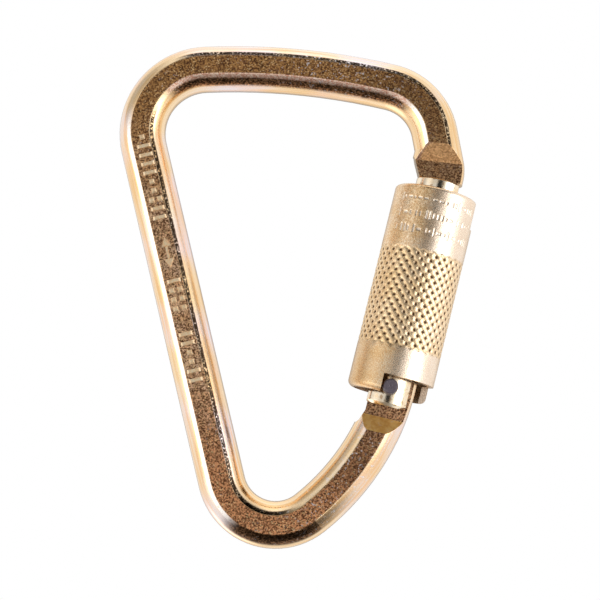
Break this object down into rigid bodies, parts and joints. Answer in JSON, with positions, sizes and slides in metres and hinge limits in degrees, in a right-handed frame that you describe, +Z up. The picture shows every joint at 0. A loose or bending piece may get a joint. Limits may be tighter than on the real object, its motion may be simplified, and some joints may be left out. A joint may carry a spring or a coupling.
{
  "type": "locking carabiner",
  "caption": "Large triangular steel carabiner: pressed bar frame, sprung gate with a knurled twist-lock sleeve, hooked nose and riveted hinge, yellow-chromate finish.",
  "frame": {"origin": "inside face of the wide bow, midway along it, on the mid-plane between the two flat faces", "axes": "+Z up through the wide bow, +X from the spine towards the gate, -Y is the front, where the long end of the hinge pin shows"},
  "size_m": [0.0925, 0.0216, 0.1307],
  "materials": {
    "plated_frame": "yellow chromate over zinc, satin flats and bright rounded sides",
    "plated_gate": "yellow chromate over zinc, bright turned",
    "plated_sleeve": "yellow chromate over zinc, satin, diamond knurl",
    "bare_steel": "unplated grey steel",
    "spring_steel": "oiled spring wire"
  },
  "bodies": {
    "frame": {"frame": "plated_frame"},
    "gate": {"gate_body": "plated_gate", "hinge_pin": "bare_steel", "latch_pin": "bare_steel", "gate_spring": "spring_steel", "retaining_ring": "spring_steel", "sleeve_spring": "spring_steel"},
    "plunger": {"spring_plunger": "bare_steel"},
    "sleeve": {"lock_sleeve": "plated_sleeve", "sleeve_bush": "plated_gate"}
  },
  "joints": [
    {"name": "gate_swing", "type": "hinge", "parent": "frame", "child": "gate", "pos_m": [0.02374, 0, -0.0773], "axis": [0, -1, 0], "range_deg": [0, 45], "stiffness_Nm_per_rad": 0.12, "springref_deg": -143.24},
    {"name": "sleeve_twist", "type": "hinge", "parent": "gate", "child": "sleeve", "pos_m": [0.02374, 0, -0.0773], "axis": [-0.2453, 0, -0.9694], "range_deg": [0, 103], "stiffness_Nm_per_rad": 0.02, "springref_deg": -85.94, "deforming": ["sleeve_spring"]},
    {"name": "plunger_slide", "type": "slide", "parent": "gate", "child": "plunger", "axis": [0.2453, 0, 0.9694], "range_m": [0, 0.00142], "deforming": ["gate_spring"]}
  ],
  "couplings": [
    {"joint": "plunger_slide", "follows": "gate_swing", "m_per_rad": 0.0018}
  ]
}
